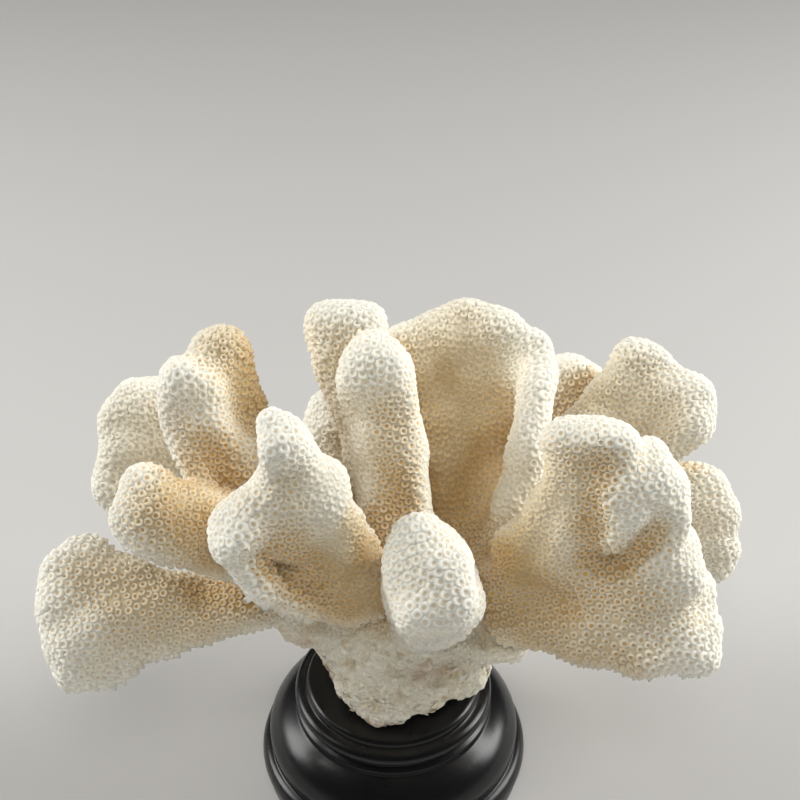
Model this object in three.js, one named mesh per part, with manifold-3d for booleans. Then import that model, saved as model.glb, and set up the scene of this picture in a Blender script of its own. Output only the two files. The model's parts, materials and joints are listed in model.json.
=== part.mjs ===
// Branching coral on a turned stand: a broad, lobed colony of thick paddles that grew from one foot.
// Its underside is cut flat and rests on the platform of a low, round, black pedestal.
// Millimetres, +Z up. The origin is the centre of the stand's flat underside, +X runs along the
// colony's widest spread, and -Y is the side that the colony opens towards.
import * as THREE from "three";
import { mergeVertices } from "three/addons/utils/BufferGeometryUtils.js";
import Module from "manifold-3d";

const wasm = await Module();
wasm.setup();

// ---- Driving dimensions -------------------------------------------------------------------------

const STAND_HEIGHT = 27; // floor to the platform that the coral sits on
const STAND_SEGMENTS = 30; // facets round the turned stand
const REST_GAP = 0.3; // the coral's cut face above the platform
const FORK_GAP = 0.35; // clearance between two pieces of the coral where they fork

const AROUND = 14; // facets round a paddle
const ALONG = 9; // facets from a paddle's root to its tip
const SQUARENESS = 2.4; // superellipse power of a paddle's section and ends, where 2 is an ellipse
const ROOT_LENGTH = 0.5; // length of a paddle's rounded root, in half widths
const TIP_LENGTH = 0.75; // length of its rounded tip, in half widths
const SWELL = 0.7; // height of the slow swellings on every surface
const SWELL_PITCH = 5.5; // their wavelength divided by 2 pi

// The trunk and each branch are one or more paddles joined. A paddle follows its spine from root to
// tip, and its broad side looks along facing. half_width and half_thickness are given at the spine's
// points, and cup is how far both its long edges curl towards facing.
const TRUNK = [
  {
    spine: [[-1, -1, 17], [1.5, -2, 38], [1, 2, 62]],
    facing: [0, -1, 0],
    half_width: [9.5, 18.5, 23],
    half_thickness: [14, 14.5, 16],
    cup: 0,
  },
  {
    spine: [[-6, -4, 51], [-18, -6, 50], [-26, -7, 49]],
    facing: [0, -0.7, 0.7],
    half_width: [6, 6, 5],
    half_thickness: [5, 4, 3.5],
    cup: 0,
  },
  {
    spine: [[6, -4, 47], [20, -7, 47], [28, -8, 48]],
    facing: [0, -0.3, 0.9],
    half_width: [7, 6, 4],
    half_thickness: [5, 3, 2.2],
    cup: 0,
  },
];

const BRANCHES = {
  left_low: [
    {
      spine: [[-12, -2, 48], [-45, -10, 57.5], [-72.5, -14, 62]],
      facing: [0, -0.75, 0.65],
      half_width: [4.5, 9.5, 19],
      half_thickness: [7, 6, 5.5],
      cup: -2,
    },
  ],
  left_back: [
    {
      spine: [[-20, 8, 48], [-49.5, 17, 68], [-53, 26, 90.5]],
      facing: [0.1, -0.8, 0.5],
      half_width: [9, 11.5, 10],
      half_thickness: [7, 7, 6.5],
      cup: 2,
    },
  ],
  left_thumb: [
    {
      spine: [[-15, -3, 56], [-35, -11, 81], [-49, -18.5, 95.5]],
      facing: [0, -0.8, 0.6],
      half_width: [9, 9.5, 8.5],
      half_thickness: [8, 7.5, 7],
      cup: 0,
    },
  ],
  left_middle: [
    {
      spine: [[-16, 0, 56], [-35, 0, 90], [-38, 2, 114.5]],
      facing: [0, -0.9, 0.4],
      half_width: [7, 8.8, 8],
      half_thickness: [7, 6.5, 6],
      cup: 0,
    },
    {
      spine: [[-14, 6, 60], [-30, 8, 92], [-34, 10, 114.5]],
      facing: [0.3, -0.9, 0.2],
      half_width: [6, 7, 5.8],
      half_thickness: [6, 5, 4.5],
      cup: 0,
    },
  ],
  front_left: [
    {
      spine: [[-4, -6, 54], [-19, -20, 84], [-30, -26.5, 99]],
      facing: [0.1, -0.75, 0.65],
      half_width: [8, 10.5, 7.5],
      half_thickness: [7, 6, 5.5],
      cup: 1,
    },
    {
      spine: [[-4, -8, 54], [-15, -20, 96], [-20.5, -25, 121]],
      facing: [-0.1, -0.8, 0.6],
      half_width: [8, 9, 4.5],
      half_thickness: [7, 6, 5],
      cup: 0,
    },
  ],
  centre_tall: [
    {
      spine: [[1, 0, 56], [0, 3, 90], [-4, 5, 115.5]],
      facing: [0, -0.9, 0.4],
      half_width: [8, 9, 8.5],
      half_thickness: [8, 7.5, 7],
      cup: 0,
    },
    {
      spine: [[-1, 6, 56], [-6, 13, 92], [-9, 17, 116]],
      facing: [-0.1, -0.9, 0.3],
      half_width: [6, 7, 8.5],
      half_thickness: [8, 6.5, 6],
      cup: 0,
    },
  ],
  back_left: [
    {
      spine: [[-2, 12, 46], [-9.5, 27, 65], [-12.5, 35, 82.5]],
      facing: [0, -0.8, 0.6],
      half_width: [9, 10, 9],
      half_thickness: [7, 6, 6],
      cup: 0,
    },
  ],
  front_knob: [
    {
      spine: [[5, -4, 50], [8, -22, 77], [8, -41, 97]],
      facing: [0, 0.7, 0.7],
      half_width: [8, 9, 9.5],
      half_thickness: [9, 11, 12],
      cup: 0,
    },
  ],
  centre_fan: [
    {
      spine: [[8, 5, 48], [16, 24, 78], [16, 33, 105]],
      facing: [-0.1, -0.85, 0.5],
      half_width: [9, 16, 16.5],
      half_thickness: [7, 5.5, 5.5],
      cup: 5,
    },
    {
      spine: [[16, 4, 52], [28.5, 14, 82], [31, 27, 98]],
      facing: [-1, 0.1, 0.2],
      half_width: [7, 10, 9],
      half_thickness: [5, 4, 4.5],
      cup: 0,
    },
  ],
  right_paddle: [
    {
      spine: [[17, -3, 50], [35.5, -10, 86], [37, -11, 109]],
      facing: [-0.1, -0.8, 0.6],
      half_width: [7, 9, 9],
      half_thickness: [7, 6.5, 6],
      cup: 0,
    },
    {
      spine: [[17, -3, 50], [42, -12, 84], [55.5, -14, 97.5]],
      facing: [0.1, -0.8, 0.6],
      half_width: [8, 11, 10],
      half_thickness: [7, 6.5, 6],
      cup: 0,
    },
    {
      spine: [[17, -3, 50], [44, -12, 70], [61, -14, 76.5]],
      facing: [0, -0.7, 0.7],
      half_width: [8, 10, 8],
      half_thickness: [6, 5, 5],
      cup: 0,
    },
    {
      spine: [[16, -4, 52], [44, -14, 62], [67, -18, 61]],
      facing: [0, -0.7, 0.7],
      half_width: [8, 12.5, 11.5],
      half_thickness: [7, 6, 5.5],
      cup: 0,
    },
  ],
  right_back: [
    {
      spine: [[18, 10, 48], [47, 25, 74], [64, 33, 88]],
      facing: [0, -0.7, 0.7],
      half_width: [9, 14, 14],
      half_thickness: [8, 7, 6.5],
      cup: 1,
    },
  ],
  far_right_back: [
    {
      spine: [[14, 16, 48], [37, 36, 68], [42, 45, 82]],
      facing: [0, -0.7, 0.7],
      half_width: [8, 10, 9],
      half_thickness: [7, 6, 6],
      cup: 0,
    },
  ],
  right_low: [
    {
      spine: [[18, 6, 44], [52, 14, 54], [75, 19, 60]],
      facing: [-0.1, -0.9, 0.4],
      half_width: [8, 13, 15.5],
      half_thickness: [7, 6, 6],
      cup: 0,
    },
  ],
  back: [
    {
      spine: [[3, 12, 44], [8, 35, 57], [10, 50, 74]],
      facing: [0, -0.4, 0.9],
      half_width: [10, 14, 15],
      half_thickness: [8, 6.5, 6],
      cup: 3,
    },
  ],
  low_back_left: [
    {
      spine: [[-8, 10, 42], [-22, 29, 46], [-30, 42, 54]],
      facing: [0.2, -0.4, 0.9],
      half_width: [9, 12, 13],
      half_thickness: [7, 6, 5.5],
      cup: 2,
    },
  ],
  low_back_right: [
    {
      spine: [[14, 10, 42], [34, 30, 43], [45, 44, 50]],
      facing: [-0.2, -0.4, 0.9],
      half_width: [9, 12, 13],
      half_thickness: [7, 6, 5.5],
      cup: 2,
    },
  ],
};

// ---- Coral --------------------------------------------------------------------------------------

const vector = ([x, y, z]) => new THREE.Vector3(x, y, z);

// The value at t of a smooth line through evenly spaced samples.
function sampled(values, t) {
  const curve = new THREE.SplineCurve(values.map((v, i) => new THREE.Vector2(i, v)));
  return curve.getPoint(t).y;
}

// The share of its full width that a paddle has at t: round over both of its ends.
function rounding(t, root_round, tip_round) {
  const from_root = Math.min(t / root_round, 1);
  const from_tip = Math.min((1 - t) / tip_round, 1);
  const end = (share) => (1 - (1 - share) ** SQUARENESS) ** (1 / SQUARENESS);
  return end(from_root) * end(from_tip);
}

// Slow swellings, as smooth as they are irregular.
function swelling(point) {
  const { x, y, z } = point.clone().divideScalar(SWELL_PITCH);
  return SWELL * (Math.sin(x + 1.3 * Math.sin(y)) + Math.sin(y + z) * Math.cos(z - 0.7 * x));
}

// A sphere's vertices carried onto a paddle: its poles go to the root and the tip.
function paddle({ spine, facing, half_width, half_thickness, cup }, grow = 0) {
  const curve = new THREE.CatmullRomCurve3(spine.map(vector));
  const length = curve.getLength();
  const root_round = Math.min((ROOT_LENGTH * half_width[0]) / length, 0.3);
  const tip_round = Math.min((TIP_LENGTH * half_width.at(-1)) / length, 0.5);
  const sphere = new THREE.SphereGeometry(1, AROUND, ALONG);
  const position = sphere.getAttribute("position");
  const round = (v) => Math.sign(v) * Math.abs(v) ** (2 / SQUARENESS);
  for (let i = 0; i < position.count; i++) {
    const on_sphere = new THREE.Vector3().fromBufferAttribute(position, i);
    const t = THREE.MathUtils.clamp((1 - on_sphere.y) / 2, 0, 1);
    const angle = Math.atan2(on_sphere.z, on_sphere.x);
    const share = rounding(t, root_round, tip_round);
    const forward = curve.getTangent(t);
    const across = new THREE.Vector3().crossVectors(vector(facing), forward).normalize();
    const outward = new THREE.Vector3().crossVectors(forward, across);
    const width = share * sampled(half_width, t);
    const thickness = share * sampled(half_thickness, t);
    const spread = round(Math.cos(angle));
    const point = curve
      .getPoint(t)
      .addScaledVector(across, width * spread)
      .addScaledVector(outward, thickness * round(Math.sin(angle)) + cup * share * spread ** 2);
    const middle = curve.getPoint(t * 0.8 + 0.1);
    point.addScaledVector(point.clone().sub(middle).normalize(), swelling(point) + grow);
    position.setXYZ(i, point.x, point.y, point.z);
  }
  return solid(sphere);
}

// A closed geometry as a manifold-3d solid, facing out.
function solid(geometry) {
  geometry.deleteAttribute("normal");
  geometry.deleteAttribute("uv");
  const merged = mergeVertices(geometry, 1e-3);
  return new wasm.Manifold(
    new wasm.Mesh({
      numProp: 3,
      vertProperties: merged.getAttribute("position").array,
      triVerts: new Uint32Array(merged.index.array),
    }),
  );
}

// One branch's paddles as one solid, grown by a clearance.
function joined(paddles, grow = 0) {
  return paddles.map((p) => paddle(p, grow)).reduce((all, one) => all.add(one));
}

// A cut can leave slivers behind, so the biggest body is the piece.
const largest = (made) =>
  made.decompose().reduce((best, one) => (one.volume() > best.volume() ? one : best));

function geometryOf(made) {
  const { vertProperties, triVerts } = made.getMesh();
  return new THREE.BufferGeometry()
    .setAttribute("position", new THREE.BufferAttribute(vertProperties, 3))
    .setIndex(new THREE.BufferAttribute(triVerts, 1));
}

const coral_finish = new THREE.MeshStandardMaterial({ color: 0xefe6d2, roughness: 0.8, metalness: 0 });

// The trunk is whole, and each branch is cut back from the pieces before it. All end at the flat cut.
function coral() {
  const group = new THREE.Group();
  const cut_height = STAND_HEIGHT + REST_GAP;
  const branches = Object.entries(BRANCHES).map(([name, paddles]) => [`${name}_branch`, paddles]);
  let taken = null;
  for (const [name, paddles] of [["trunk", TRUNK], ...branches]) {
    let piece = joined(paddles).trimByPlane([0, 0, 1], cut_height);
    if (taken) piece = largest(piece.subtract(taken));
    const grown = joined(paddles, FORK_GAP);
    taken = taken ? taken.add(grown) : grown;
    const mesh = new THREE.Mesh(geometryOf(piece), coral_finish);
    mesh.name = name;
    group.add(mesh);
  }
  return group;
}

// ---- Stand --------------------------------------------------------------------------------------

const stand_finish = new THREE.MeshStandardMaterial({ color: 0x0b0b0b, roughness: 0.35, metalness: 0 });

// The turned profile, from the centre of the underside out and up to the centre of the platform.
function standProfile() {
  const profile = new THREE.Path();
  profile.moveTo(0, 0);
  profile.lineTo(28.5, 0);
  profile.lineTo(29.3, 0.8);
  profile.lineTo(29.3, 3.2);
  profile.quadraticCurveTo(30.3, 4, 30, 6);
  profile.quadraticCurveTo(29.6, 8, 28, 8.2);
  profile.lineTo(27.4, 9);
  profile.quadraticCurveTo(29, 11.5, 27.2, 14.5);
  profile.quadraticCurveTo(25.5, 17.5, 21.8, 19);
  profile.lineTo(21.8, 20.4);
  profile.lineTo(20.6, 21);
  profile.lineTo(20.6, 22);
  profile.quadraticCurveTo(22, 22.2, 21.9, 23.6);
  profile.quadraticCurveTo(21.7, 25, 20, 25.1);
  profile.lineTo(19.4, 25.3);
  profile.quadraticCurveTo(19.3, STAND_HEIGHT, 18, STAND_HEIGHT);
  profile.lineTo(0, STAND_HEIGHT);
  return profile.getPoints(2);
}

function stand() {
  const lathe = new THREE.LatheGeometry(standProfile(), STAND_SEGMENTS);
  const upright = lathe.rotateX(Math.PI / 2);
  const mesh = new THREE.Mesh(geometryOf(solid(upright)), stand_finish);
  mesh.name = "stand";
  return mesh;
}

const coral_on_stand = new THREE.Group();
coral_on_stand.add(stand(), coral());

export default coral_on_stand;
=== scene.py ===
"""Branching coral on a turned stand: the visual model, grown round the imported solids.

The coral's skeleton is one skin with rounded forks, taken from the distance to every coral solid. It
is divided into one closed piece for each solid, and every piece is covered with small tube-shaped
cups. The stand is turned again from a finer outline. Everything is in metres.
"""

import itertools
import json
import math

import bpy
import numpy as np
import openvdb
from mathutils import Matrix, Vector
from mathutils.bvhtree import BVHTree
from mathutils.kdtree import KDTree

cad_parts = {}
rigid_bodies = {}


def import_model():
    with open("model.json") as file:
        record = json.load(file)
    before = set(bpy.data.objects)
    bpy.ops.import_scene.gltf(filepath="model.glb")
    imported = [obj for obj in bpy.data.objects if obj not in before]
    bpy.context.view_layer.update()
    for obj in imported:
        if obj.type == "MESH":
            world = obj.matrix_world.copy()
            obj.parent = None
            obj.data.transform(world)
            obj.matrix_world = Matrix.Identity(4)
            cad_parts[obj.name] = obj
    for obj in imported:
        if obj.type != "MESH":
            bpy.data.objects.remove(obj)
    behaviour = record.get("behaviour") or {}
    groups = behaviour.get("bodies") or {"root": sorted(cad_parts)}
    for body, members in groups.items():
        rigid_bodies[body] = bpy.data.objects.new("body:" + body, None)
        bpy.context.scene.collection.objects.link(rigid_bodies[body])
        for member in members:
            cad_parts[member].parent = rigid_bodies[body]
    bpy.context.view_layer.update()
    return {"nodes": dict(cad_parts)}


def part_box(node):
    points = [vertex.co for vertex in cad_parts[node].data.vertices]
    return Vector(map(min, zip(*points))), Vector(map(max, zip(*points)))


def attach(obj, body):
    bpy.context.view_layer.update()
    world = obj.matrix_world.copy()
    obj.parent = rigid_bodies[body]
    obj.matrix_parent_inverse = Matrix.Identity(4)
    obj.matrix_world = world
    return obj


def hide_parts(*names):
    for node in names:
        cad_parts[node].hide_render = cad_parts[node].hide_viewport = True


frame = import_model()

bl_info = {
    "name": "Branching Coral on a Stand",
    "version": (1, 0, 0),
    "blender": (4, 5, 0),
    "location": "3D View > Sidebar > Coral",
    "description": "Builds a lobed branching coral, its cups and its turned stand round CAD solids",
    "category": "Object",
}

MM = 0.001
BODY = "root"
STAND = "stand"
CORAL_NODES = sorted(set(frame["nodes"]) - {STAND})
TRUNK_LOW, TRUNK_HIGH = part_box("trunk")
STAND_LOW, STAND_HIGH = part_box(STAND)

# The colony's branches all spread from here, a little below the trunk's top.
CORE = Vector(((TRUNK_LOW.x + TRUNK_HIGH.x) / 2, 0, TRUNK_HIGH.z - 14 * MM))

# The worn foot fades out between these heights over its cut, and between these distances from the
# stand's axis.
WORN_HEIGHTS = (20 * MM, 31 * MM)
WORN_RADII = (21 * MM, 28 * MM)

# How far one piece of the skin reaches into the next, inside the coral.
OVERLAP = 1.6 * MM

# The blurs that tell a rim from a broad face and a tip from a hollow, and how far above the skin the
# second is read.
RIM_BLUR = 2.4 * MM
HOLLOW_BLUR = 5.5 * MM
HOLLOW_LIFT = 7 * MM

# In the two tables below, start and end are hundredths of the solid's box along X, Y and Z.

# Hollows and grooves that the plain solids lack, and bulges where the depth is below 0:
# solid: [(start, end, radius in mm, depth in mm)]
STROKES = {
    # The left low branch: its corners, its broad face and the underside of its root.
    "left_low_branch": [
        ((3, 62, 92), (3, 60, 89), 4, 0.8),
        ((17, 6, 22), (27, 18, 16), 4, -1.3),
        ((66, 48, 24), (80, 44, 25), 4, 2.2),
        ((22, 45, 80), (52, 48, 70), 6, 1.2),
        ((4, 45, 73), (4, 45, 73), 3.5, -1.2),
        ((64, 50, 32), (61, 46, 33), 2, -1.4),
        ((78, 66, 18), (78, 66, 18), 3, 1.2),
        ((60, 45, 42), (74, 55, 42), 2.6, -1.2),
        ((80, 63, 46), (84, 63, 44), 3, -2.2),
    ],
    # The left back branch: a narrower top over a fuller flank.
    "left_back_branch": [
        ((7, 69, 95), (2, 59, 82), 4.5, 2),
        ((6, 44, 57), (11, 39, 47), 4, -2.5),
        ((20, 77, 98), (28, 81, 97), 4, -1.2),
    ],
    # The left thumb: a squarer tip and a slimmer root.
    "left_thumb_branch": [
        ((8, 39, 92), (3, 26, 88), 3.5, -1.2),
        ((52, 31, 35), (65, 39, 20), 4, 2.5),
    ],
    # The left middle branch: a crease between its front ridge and the ridge behind.
    "left_middle_branch": [
        ((23, 56, 97), (39, 38, 97), 2.2, 2.2),
        ((39, 38, 97), (50, 38, 71), 2.5, 2.5),
        ((52, 73, 97), (52, 75, 90), 3, 1.2),
        ((22, 20, 95), (32, 5, 74), 4, -0.7),
        ((4, 18, 68), (9, 10, 62), 3.5, 1.6),
        ((28, 2, 73), (41, 5, 58), 2.5, 1.6),
        ((14, 8, 70), (25, 2, 56), 2.5, -0.8),
    ],
    # The front left branch: a full upper face over a deep hollow with a lip.
    "front_left_branch": [
        ((26, 31, 92), (29, 30, 81), 3, 0.9),
        ((4, 15, 60), (12, 7, 57), 4, 0.8),
        ((30, 28, 71), (43, 26, 61), 5, -2),
        ((34, 16, 55), (49, 29, 41), 4.2, 3.8),
        ((28, 15, 41), (63, 44, 16), 2.5, -1),
        ((29, 22, 61), (40, 29, 53), 2.2, -1.1),
        ((40, 29, 53), (50, 38, 40), 1.9, -2.4),
        ((50, 38, 40), (63, 41, 33), 1.9, -1.8),
        ((35, 28, 49), (41, 35, 42), 2.3, 2.4),
        ((41, 35, 42), (61, 41, 28), 2, 2.6),
        ((12, 16, 60), (20, 19, 50), 2.2, -1.7),
        ((20, 19, 50), (28, 22, 44), 2.1, -1.9),
        ((28, 22, 44), (50, 34, 25), 1.9, -1.9),
        ((66, 55, 7), (78, 59, 5), 3, 1.2),
        ((45, 30, 24), (69, 60, 6), 3, 1.8),
    ],
    # The tall centre branch: a broad back ridge and a slim, slightly hollow front ridge.
    "centre_tall_branch": [
        ((6, 81, 90), (11, 72, 77), 4, -1.8),
        ((84, 45, 91), (92, 35, 76), 4, 2.2),
        ((92, 35, 76), (97, 27, 36), 4.5, 2),
        ((66, 17, 83), (69, 13, 42), 4, 1.2),
    ],
    # The centre fan: a shoulder on its left, and a thick rim beyond a crease on its right.
    "centre_fan_branch": [
        ((3, 79, 90), (5, 80, 82), 4.5, -2.4),
        ((18, 81, 99), (24, 81, 100), 4, 0.9),
        ((32, 87, 95), (48, 88, 97), 4, -1),
        ((97, 53, 84), (97, 44, 75), 3.5, 1.3),
        ((40, 65, 74), (42, 42, 42), 5.5, 1.3),
        ((74, 66, 78), (62, 52, 52), 3.5, 1),
        ((62, 52, 52), (54, 33, 39), 3.5, 1),
        ((86, 62, 80), (81, 43, 80), 4.5, -0.9),
        ((81, 43, 80), (71, 23, 66), 4.5, -1.4),
        ((71, 23, 66), (66, 14, 48), 4.5, -1.4),
        ((95, 45, 76), (93, 38, 68), 3, 1.8),
    ],
    # The right back branch: two ridges with a valley between them.
    "right_back_branch": [
        ((47, 76, 78), (51, 80, 84), 4, 2),
        ((96, 63, 81), (98, 55, 70), 4, -1.3),
        ((80, 65, 90), (75, 47, 72), 3, 1.3),
        ((88, 62, 85), (85, 46, 73), 4, -1.2),
        ((64, 62, 82), (68, 52, 75), 5, 1),
        ((98, 49, 68), (98, 49, 68), 3.5, 1.3),
    ],
    "far_right_back_branch": [
        ((65, 87, 94), (65, 87, 94), 3.5, 1.2),
    ],
    # The right low branch: a fuller upper corner.
    "right_low_branch": [
        ((90, 72, 83), (93, 63, 74), 4, -1.8),
        ((99, 49, 50), (98, 43, 41), 3, 1),
    ],
    # The right paddle: one broad sheet with a groove across it, under a full tongue.
    "right_paddle_branch": [
        ((56, 31, 43), (74, 42, 50), 4.5, -3),
        ((47, 31, 41), (56, 24, 54), 3.2, 3.5),
        ((56, 24, 54), (66, 24, 69), 3.2, 3.5),
        ((45, 33, 72), (49, 38, 50), 2, 2.6),
        ((49, 38, 47), (56, 38, 48), 1.9, 4.5),
        ((56, 38, 48), (67, 30, 63), 1.9, 4.5),
        ((49, 34, 57), (54, 34, 58), 1.7, -2),
        ((54, 34, 58), (61, 28, 72), 1.7, -2),
        ((51, 29, 78), (57, 33, 62), 4, -0.8),
        ((37, 38, 88), (46, 37, 86), 3, 1.2),
        ((94, 13, 16), (94, 13, 16), 2.5, -1.2),
        ((81, 37, 70), (81, 29, 67), 3.5, 0.6),
        ((65, 64, 84), (67, 65, 84), 3, -1.2),
        ((51, 14, 7), (56, 11, 9), 4, 2),
        ((90, 5, 15), (90, 5, 15), 4, 0.6),
        ((25, 38, 5), (30, 33, 7), 3.5, 1.3),
        ((66, 10, 11), (66, 10, 11), 2.5, -1.5),
        ((43, 33, 64), (61, 29, 78), 4, -1),
        ((46, 35, 89), (40, 34, 63), 3, 1),
        ((17, 51, 25), (37, 43, 30), 5, 1.5),
        ((74, 36, 49), (79, 31, 45), 4, -0.8),
    ],
    # The front knob: cut away at its right corners.
    "front_knob_branch": [
        ((84, 35, 90), (93, 31, 85), 4.5, 3.5),
        ((80, 52, 75), (83, 56, 72), 3.5, 1.4),
        ((90, 38, 56), (90, 38, 56), 3, -1.6),
        ((84, 14, 58), (86, 15, 60), 5, 3.5),
        ((83, 49, 69), (87, 49, 66), 3, 0.7),
        ((10, 32, 89), (8, 27, 86), 3, -0.8),
    ],
    # The foot: knobs on its left, a thin flange on its right and a point in front.
    "trunk": [
        ((8, 15, 56), (13, 17, 54), 4, 2),
        ((10, 15, 68), (10, 15, 68), 2.5, -1.5),
        ((22, 22, 36), (29, 22, 8), 4.5, 0.8),
        ((69, 11, 7), (78, 20, 6), 4, 1.4),
        ((46, 8, 6), (46, 8, 6), 2.6, -2),
        ((85, 30, 25), (82, 25, 15), 4, -2.1),
        ((88, 24, 47), (96, 23, 53), 2.2, -2.8),
        ((87, 10, 46), (91, 11, 48), 2.4, 1.2),
        ((40, 8, 53), (43, 7, 32), 3, -1.2),
        ((50, 5, 45), (51, 3, 27), 2.2, 1),
        ((34, 13, 53), (31, 13, 40), 2.2, 1.2),
        ((67, 6, 45), (73, 7, 32), 3.2, 1.2),
        ((58, 3, 27), (63, 7, 19), 2.6, -0.8),
    ],
}

# Where the coral is darkened, partly as a real stain and partly as painted shade on faces that lie in
# shadow or face down, and where it is lightened as painted light on rims that lie in shadow, where the
# value is below 0; and where its cups are small, flat and even: solid: [(start, end, radius in mm,
# stain and painted light, calm)]
PATCHES = {
    "left_low_branch": [
        ((18, 55, 84), (30, 52, 78), 3.5, 0.4, 0),
        ((48, 50, 70), (69, 57, 54), 5, 0.35, 0),
        ((35, 40, 60), (60, 45, 45), 7, 0.4, 0.3),
    ],
    "left_back_branch": [
        ((21, 53, 85), (30, 50, 60), 9, 0.1, 0.6),
    ],
    "left_thumb_branch": [
        ((33, 30, 88), (42, 30, 60), 6, 0.8, 0.6),
        ((19, 11, 88), (45, 23, 61), 3.5, 0.5, 0),
    ],
    "left_middle_branch": [
        ((26, 1, 75), (41, 4, 58), 2.6, 0.45, 0),
        ((8, 12, 68), (24, 2, 57), 2.2, -0.6, 0),
        ((52, 75, 92), (52, 75, 70), 7, 0.98, 0.7),
    ],
    "front_left_branch": [
        ((60, 27, 78), (73, 36, 45), 5, 0, 0.9),
        ((33, 28, 51), (41, 35, 42), 3, 0.98, 0),
        ((41, 35, 42), (62, 42, 28), 3.2, 0.95, 0),
        ((32, 22, 50), (72, 46, 20), 6.5, 0.75, 0),
        ((12, 16, 60), (20, 19, 50), 2.8, -0.8, 0),
        ((20, 19, 50), (30, 22, 42), 2.6, -0.9, 0),
        ((30, 22, 42), (50, 34, 25), 2.3, -1.1, 0),
        ((72, 38, 42), (80, 48, 22), 5, 0.2, 0.8),
        ((43, 21, 80), (48, 27, 57), 2.2, 0.3, 0),
    ],
    "centre_tall_branch": [
        ((60, 20, 75), (67, 17, 41), 4, 0.5, 0),
        ((33, 33, 75), (38, 22, 43), 2.6, -1.2, 0),
        ((86, 40, 57), (90, 29, 35), 2.2, -0.5, 0),
    ],
    "centre_fan_branch": [
        ((35, 71, 91), (41, 41, 41), 8, 0.35, 1),
        ((45, 50, 60), (45, 35, 35), 7, 0.12, 0),
        ((86, 69, 85), (83, 43, 83), 4.5, -0.7, 0),
        ((83, 43, 83), (70, 13, 50), 4.5, -1.6, 0),
    ],
    "right_back_branch": [
        ((60, 64, 85), (68, 52, 75), 7, 0.35, 0.7),
    ],
    "far_right_back_branch": [
        ((30, 50, 90), (30, 50, 60), 9, 0.3, 0.6),
    ],
    "right_paddle_branch": [
        ((25, 50, 78), (21, 51, 43), 6, 0.4, 0.9),
        ((47, 38, 89), (44, 33, 64), 2.4, 0.7, 0),
        ((44, 36, 64), (49, 40, 48), 2, 0.9, 0),
        ((49, 40, 46), (56, 41, 48), 2.4, 0.98, 0),
        ((56, 41, 48), (67, 34, 62), 2.4, 0.98, 0),
        ((37, 38, 88), (46, 37, 86), 2.5, 0.6, 0),
        ((22, 51, 38), (23, 45, 18), 6, 0.6, 0.5),
        ((30, 40, 30), (65, 23, 36), 4.5, 0.55, 0),
        ((30, 35, 12), (59, 12, 14), 5, 0.7, 0),
    ],
    "right_low_branch": [
        ((87, 48, 73), (90, 39, 43), 6, 0.15, 0.4),
    ],
}


# ---- Settings --------------------


def length(name, description, millimetres):
    return bpy.props.FloatProperty(
        name=name, description=description, default=millimetres * MM, unit="LENGTH", precision=5
    )


def factor(name, description, default):
    return bpy.props.FloatProperty(
        name=name, description=description, default=default, subtype="FACTOR"
    )


def whole(name, description, default):
    return bpy.props.IntProperty(name=name, description=description, default=default)


def colour(name, description, default):
    return bpy.props.FloatVectorProperty(
        name=name, description=description, default=default, subtype="COLOR"
    )


class CoralSkeletonSettings(bpy.types.PropertyGroup):
    """Sizes of the skin that joins the coral's branches."""

    spacing: length("Spacing", "Distance between the lattice points the skin is taken from", 0.9)
    fillet: length("Fork Fillet", "How softly one branch runs into the next", 1.3)
    smoothing: length("Smoothing", "Size of the facets and edges that are rounded off", 1.3)
    swell: length("Swellings", "Height of the slow irregular swellings", 0.45)
    swell_length: length("Swelling Length", "Shortest distance from one swelling to the next", 8)
    inset: length("Inset", "How far the skin lies inside the solids, to leave room for cups", 0.75)
    pits: length("Pits", "Depth of the pits worn into the foot", 0.3)
    pit_length: length("Pit Length", "Shortest distance from one pit to the next", 2.7)
    seed: whole("Seed", "Which swellings and pits are drawn", 11)


class CoralCupSettings(bpy.types.PropertyGroup):
    """Sizes of the tube-shaped cups that cover the coral."""

    pitch: length("Pitch", "Distance from one cup to the next on a broad face", 1.85)
    diameter: length("Diameter", "Diameter of a cup one pitch from its neighbours", 1.8)
    height: length("Height", "How far a cup stands out of a broad face", 0.62)
    lean: factor("Lean", "How far the cups lean outwards along their branch", 0.2)
    seed: whole("Seed", "Which places and turns are drawn", 7)


class CoralFinishSettings(bpy.types.PropertyGroup):
    """Colours of the coral, from its tips to its deepest hollows."""

    tip: colour("Tips", "Colour of the tips, rims and cup lips", (0.94, 0.90, 0.77))
    face: colour("Faces", "Colour of the broad faces between the cups", (0.88, 0.78, 0.55))
    # The hollow colour is partly the coral's own tan stain and partly painted shade, mixed in where the
    # skin is shut in and stained.
    hollow: colour("Hollows", "Colour between the branches and in hollows", (0.53, 0.345, 0.14))
    # The throat colour is partly the cups' own tan and partly painted shade and a painted glow inside
    # the cups.
    throat: colour("Throats", "Colour inside the cups", (0.78, 0.44, 0.12))
    worn: colour("Worn Foot", "Colour of the foot, where the cups have gone", (1.0, 0.94, 0.77))
    earth: colour("Earth", "Colour of the brown patches on the foot", (0.74, 0.60, 0.38))
    blush: colour("Blush", "Colour of the pink patches on the foot", (0.72, 0.48, 0.38))
    roughness: factor("Roughness", "Roughness of the dry skeleton", 0.85)


class StandSettings(bpy.types.PropertyGroup):
    """Finish and fineness of the turned stand."""

    segments: whole("Segments", "Facets round the stand", 144)
    lacquer: colour("Lacquer", "Colour of the satin lacquer", (0.006, 0.006, 0.0065))
    roughness: factor("Roughness", "Roughness of the lacquer", 0.28)


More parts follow.
